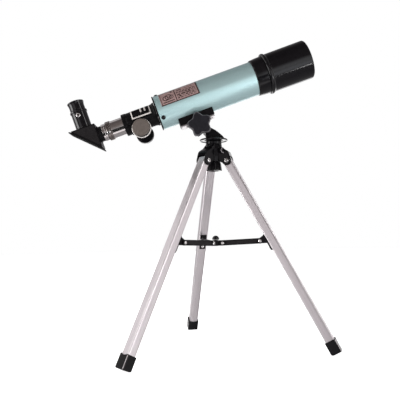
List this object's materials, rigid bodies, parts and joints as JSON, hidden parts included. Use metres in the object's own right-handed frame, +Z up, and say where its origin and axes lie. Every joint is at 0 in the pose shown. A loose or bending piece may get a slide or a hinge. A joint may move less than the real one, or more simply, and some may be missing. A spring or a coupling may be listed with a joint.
{
  "type": "telescope on tripod",
  "caption": "Small refracting telescope with a star diagonal and dew shield, tilting on a neck above a folding table-top tripod with a spreader.",
  "frame": {"origin": "middle of the bounding box, on the surface that the three feet stand on", "axes": "+Z up, +X the way the telescope points at rest, +Y to its left"},
  "size_m": [0.4028, 0.3092, 0.4715],
  "materials": {
    "tube_paint": "metallic mint paint over an aluminium tube",
    "gloss_black": "polished black moulded plastic",
    "satin_black": "satin black moulded plastic",
    "black_steel": "black painted pressed steel",
    "chrome": "bright chrome plating",
    "leg_aluminium": "satin drawn aluminium",
    "screw_steel": "turned and plated steel",
    "knob_bronze": "warm grey metallic cap",
    "panel_bronze": "printed foil, warm brown, blank",
    "brass": "machined brass",
    "optical_glass": "coated optical glass",
    "mirror": "front-silvered mirror"
  },
  "bodies": {
    "tripod_hub": {"hub_casting": "gloss_black", "pan_disc": "gloss_black", "leg_pin_right": "screw_steel", "leg_pin_left": "screw_steel", "leg_pin_rear": "screw_steel"},
    "hub_screw": {"hub_set_screw": "screw_steel"},
    "leg_right": {"leg_right": "leg_aluminium", "leg_plug_right": "satin_black", "foot_cap_right": "gloss_black", "leg_bracket_right": "black_steel"},
    "leg_left": {"leg_left": "leg_aluminium", "leg_plug_left": "satin_black", "foot_cap_left": "gloss_black", "leg_bracket_left": "black_steel"},
    "leg_rear": {"leg_rear": "leg_aluminium", "leg_plug_rear": "satin_black", "foot_cap_rear": "gloss_black", "leg_bracket_rear": "black_steel"},
    "link_right": {"spreader_link_right": "black_steel"},
    "link_left": {"spreader_link_left": "black_steel"},
    "link_rear": {"spreader_link_rear": "black_steel"},
    "spreader": {"spreader_hub": "black_steel", "spreader_knob": "gloss_black"},
    "pan_head": {"neck": "gloss_black", "pan_spindle": "screw_steel", "tilt_bolt": "screw_steel"},
    "lock_nut": {"pan_lock_nut": "satin_black"},
    "tilt_clamp": {"tilt_knob": "satin_black"},
    "telescope": {"main_tube": "tube_paint", "rear_plate": "gloss_black", "rear_screw_1": "satin_black", "rear_screw_2": "satin_black", "rear_screw_3": "satin_black", "info_panel": "panel_bronze", "lens_cell": "gloss_black", "objective_lens": "optical_glass", "lens_retaining_ring": "satin_black", "focuser_housing": "satin_black", "accessory_shoe": "satin_black", "saddle_block": "satin_black", "tilt_lug": "leg_aluminium", "saddle_screw_rear": "screw_steel", "saddle_screw_front": "screw_steel"},
    "shield": {"dew_shield": "gloss_black"},
    "focus_drive": {"pinion_shaft": "brass", "focus_knob_near": "knob_bronze", "focus_knob_far": "satin_black"},
    "drawtube": {"draw_tube": "chrome", "focus_rack": "brass", "draw_tube_collar": "chrome"},
    "collar_clamp": {"collar_screw": "screw_steel"},
    "diagonal": {"diagonal_nose": "chrome", "diagonal_housing": "satin_black", "diagonal_mirror": "mirror", "diagonal_cover": "satin_black", "eyepiece_holder": "gloss_black"},
    "holder_clamp": {"holder_screw": "screw_steel"},
    "eyepiece": {"eyepiece_body": "gloss_black", "eyepiece_barrel": "chrome", "eye_lens": "optical_glass"}
  },
  "joints": [
    {"name": "pan", "type": "hinge", "parent": "tripod_hub", "child": "pan_head", "pos_m": [0.025, -0.0234, 0.318], "axis": [0, 0, 1], "continuous": true},
    {"name": "lock_nut_turn", "type": "hinge", "parent": "pan_head", "child": "lock_nut", "pos_m": [0.025, -0.0234, 0.277], "axis": [0, 0, -1], "range_deg": [0, 360]},
    {"name": "tilt", "type": "hinge", "parent": "pan_head", "child": "telescope", "pos_m": [0.004, -0.0234, 0.3395], "axis": [0, -1, 0], "range_deg": [-34, 41]},
    {"name": "tilt_knob_turn", "type": "hinge", "parent": "pan_head", "child": "tilt_clamp", "pos_m": [0.004, -0.0454, 0.3395], "axis": [0, -1, 0], "range_deg": [0, 360]},
    {"name": "shield_slide", "type": "slide", "parent": "telescope", "child": "shield", "axis": [0.9449, 0, 0.3272], "range_m": [0, 0.013]},
    {"name": "focus_turn", "type": "hinge", "parent": "telescope", "child": "focus_drive", "pos_m": [-0.08367, -0.0234, 0.33462], "axis": [0, 1, 0], "range_deg": [-440.9, 235.2]},
    {"name": "focus_slide", "type": "slide", "parent": "telescope", "child": "drawtube", "axis": [0.9449, 0, 0.3272], "range_m": [-0.03, 0.016]},
    {"name": "collar_screw_turn", "type": "hinge", "parent": "drawtube", "child": "collar_clamp", "pos_m": [-0.13476, -0.03664, 0.33179], "axis": [0.1065, -0.9455, -0.3076], "range_deg": [0, 360]},
    {"name": "diagonal_turn", "type": "hinge", "parent": "drawtube", "child": "diagonal", "pos_m": [-0.14173, -0.0234, 0.3342], "axis": [0.9449, 0, 0.3272], "continuous": true},
    {"name": "holder_screw_turn", "type": "hinge", "parent": "diagonal", "child": "holder_clamp", "pos_m": [-0.18142, -0.0364, 0.35898], "axis": [0, -1, 0], "range_deg": [0, 360]},
    {"name": "eyepiece_slide", "type": "slide", "parent": "diagonal", "child": "eyepiece", "axis": [-0.3272, 0, 0.9449], "range_m": [0, 0.028]},
    {"name": "hub_screw_turn", "type": "hinge", "parent": "tripod_hub", "child": "hub_screw", "pos_m": [0.03207, -0.03183, 0.3006], "axis": [0.6428, -0.766, 0], "range_deg": [0, 360]},
    {"name": "leg_right_fold", "type": "hinge", "parent": "tripod_hub", "child": "leg_right", "pos_m": [0.04584, -0.02944, 0.2849], "axis": [0.2782, 0.9605, 0], "range_deg": [0, 24]},
    {"name": "leg_left_fold", "type": "hinge", "parent": "tripod_hub", "child": "leg_left", "pos_m": [0.00935, -0.03843, 0.2849], "axis": [0.6928, -0.7212, 0], "range_deg": [0, 24]},
    {"name": "leg_rear_fold", "type": "hinge", "parent": "tripod_hub", "child": "leg_rear", "pos_m": [0.0198, -0.00233, 0.2849], "axis": [-0.9709, -0.2394, 0], "range_deg": [0, 24]},
    {"name": "link_right_turn", "type": "hinge", "parent": "leg_right", "child": "link_right", "pos_m": [0.09171, -0.03751, 0.1625], "axis": [0.2782, 0.9605, 0], "range_deg": [-107.87, 0]},
    {"name": "link_left_turn", "type": "hinge", "parent": "leg_left", "child": "link_left", "pos_m": [-0.02057, -0.07411, 0.1625], "axis": [0.6928, -0.7212, 0], "range_deg": [-107.87, 0]},
    {"name": "link_rear_turn", "type": "hinge", "parent": "leg_rear", "child": "link_rear", "pos_m": [0.00387, 0.04143, 0.1625], "axis": [-0.9709, -0.2394, 0], "range_deg": [-107.87, 0]},
    {"name": "spreader_slide", "type": "slide", "parent": "tripod_hub", "child": "spreader", "axis": [0, 0, 1], "range_m": [-0.0642, 0]}
  ],
  "couplings": [
    {"joint": "focus_turn", "follows": "focus_slide", "rad_per_m": 256.41},
    {"joint": "leg_left_fold", "follows": "leg_right_fold", "ratio": 1},
    {"joint": "leg_rear_fold", "follows": "leg_right_fold", "ratio": 1},
    {"joint": "link_right_turn", "follows": "leg_right_fold", "ratio": -4.4738},
    {"joint": "link_left_turn", "follows": "leg_right_fold", "ratio": -4.4738},
    {"joint": "link_rear_turn", "follows": "leg_right_fold", "ratio": -4.4738},
    {"joint": "spreader_slide", "follows": "leg_right_fold", "m_per_rad": -0.15196}
  ]
}
